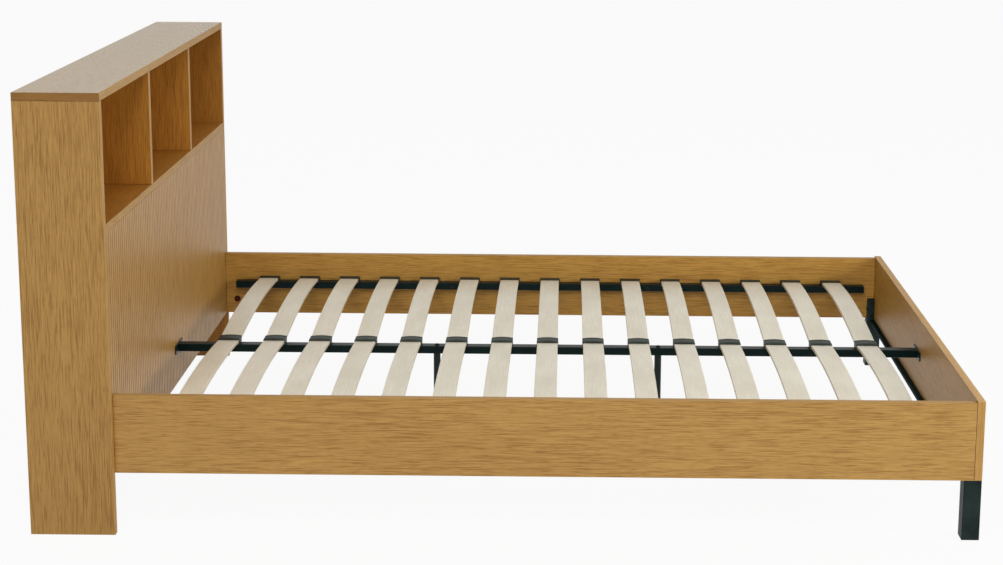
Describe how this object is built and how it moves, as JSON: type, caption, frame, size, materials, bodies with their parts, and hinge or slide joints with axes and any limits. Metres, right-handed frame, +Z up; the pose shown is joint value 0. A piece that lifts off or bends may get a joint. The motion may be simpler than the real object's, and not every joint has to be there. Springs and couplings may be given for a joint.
{
  "type": "bookcase headboard bed",
  "caption": "Double bed frame with a fluted bookcase headboard, open shelf bays, plain side rails, sprung slats, a steel centre rail on adjustable legs and square front legs.",
  "frame": {"origin": "on the floor, under the middle of the overall length and width", "axes": "+X from the headboard to the footboard, +Y to the right-hand side when looking from the headboard's rear with the left side at -Y, +Z up"},
  "size_m": [2.128, 1.476, 1],
  "materials": {
    "oak_laminate": "satin oak-look laminate",
    "hardboard": "thin hardboard, matte",
    "beech_laminate": "pale laminated beech, matte",
    "black_steel": "black powder coat",
    "black_plastic": "black moulded plastic",
    "zinc_steel": "zinc plated",
    "dowel_wood": "plain beech"
  },
  "bodies": {
    "bed": {"headboard_side_left": "oak_laminate", "headboard_side_right": "oak_laminate", "headboard_top": "oak_laminate", "headboard_shelf": "oak_laminate", "headboard_divider_left": "oak_laminate", "headboard_divider_right": "oak_laminate", "headboard_fluted_panel": "oak_laminate", "headboard_bottom_board": "oak_laminate", "side_rail_left": "oak_laminate", "side_rail_right": "oak_laminate", "footboard": "oak_laminate", "headboard_back_panel": "hardboard", "slat_bearer_left": "black_steel", "slat_bearer_right": "black_steel", "centre_rail": "black_steel", "head_rail_bracket": "black_steel", "foot_rail_bracket": "black_steel", "centre_leg_head": "black_steel", "centre_leg_foot": "black_steel", "front_leg_left": "black_steel", "front_leg_right": "black_steel", "leg_cross_bar": "black_steel", "slat_end_caps": "black_plastic", "centre_slat_clips": "black_plastic", "slat_left_01": "beech_laminate", "slat_left_02": "beech_laminate", "slat_left_03": "beech_laminate", "slat_left_04": "beech_laminate", "slat_left_05": "beech_laminate", "slat_left_06": "beech_laminate", "slat_left_07": "beech_laminate", "slat_left_08": "beech_laminate", "slat_left_09": "beech_laminate", "slat_left_10": "beech_laminate", "slat_left_11": "beech_laminate", "slat_left_12": "beech_laminate", "slat_left_13": "beech_laminate", "slat_left_14": "beech_laminate", "slat_left_15": "beech_laminate", "slat_right_01": "beech_laminate", "slat_right_02": "beech_laminate", "slat_right_03": "beech_laminate", "slat_right_04": "beech_laminate", "slat_right_05": "beech_laminate", "slat_right_06": "beech_laminate", "slat_right_07": "beech_laminate", "slat_right_08": "beech_laminate", "slat_right_09": "beech_laminate", "slat_right_10": "beech_laminate", "slat_right_11": "beech_laminate", "slat_right_12": "beech_laminate", "slat_right_13": "beech_laminate", "slat_right_14": "beech_laminate", "slat_right_15": "beech_laminate", "frame_bolts": "black_steel", "barrel_nuts": "black_steel", "frame_screws": "black_steel", "panel_dowels": "dowel_wood"},
    "levelling_foot_head": {"levelling_foot_head": "zinc_steel"},
    "levelling_foot_foot": {"levelling_foot_foot": "zinc_steel"}
  },
  "joints": [
    {"name": "levelling_foot_head_height", "type": "slide", "parent": "bed", "child": "levelling_foot_head", "axis": [0, 0, 1], "range_m": [-0.012, 0.012]},
    {"name": "levelling_foot_foot_height", "type": "slide", "parent": "bed", "child": "levelling_foot_foot", "axis": [0, 0, 1], "range_m": [-0.012, 0.012]}
  ]
}
